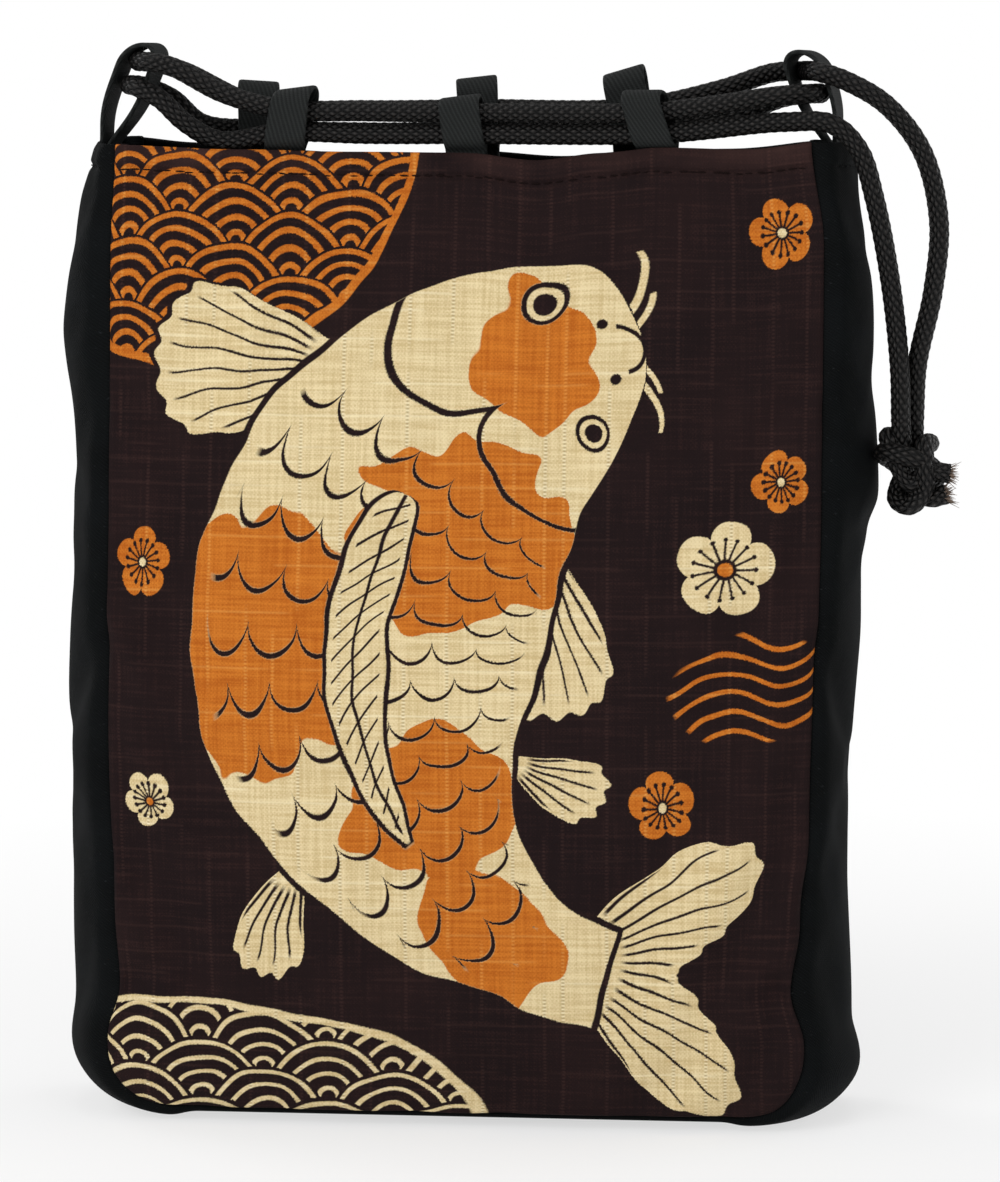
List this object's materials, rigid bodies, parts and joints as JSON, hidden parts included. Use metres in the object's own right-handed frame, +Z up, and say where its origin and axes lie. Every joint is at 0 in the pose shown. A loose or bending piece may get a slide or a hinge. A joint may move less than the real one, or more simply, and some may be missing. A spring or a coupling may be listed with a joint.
{
  "type": "kinchaku drawstring pouch",
  "caption": "Upright gusseted cloth pouch with tape loops along its rim and a knotted drawstring that closes the mouth.",
  "frame": {"origin": "on the floor, under the middle of the pouch", "axes": "+Z up, -Y towards the printed front, +X to the right as seen from the front"},
  "size_m": [0.2365, 0.0734, 0.285],
  "materials": {
    "printed_cloth": "slub cotton with a cream and orange print",
    "black_twill": "plain twill",
    "tape": "ribbed tape",
    "cord": "braided"
  },
  "bodies": {
    "root": {"front_panel": "printed_cloth", "back_panel": "black_twill", "gusset_strip": "black_twill", "front_loop_left": "tape", "front_loop_middle": "tape", "front_loop_right": "tape", "back_loop_left": "tape", "back_loop_middle": "tape", "back_loop_right": "tape", "left_side_loop": "tape", "right_side_loop": "tape", "drawstring": "cord", "knot": "cord"}
  },
  "joints": []
}
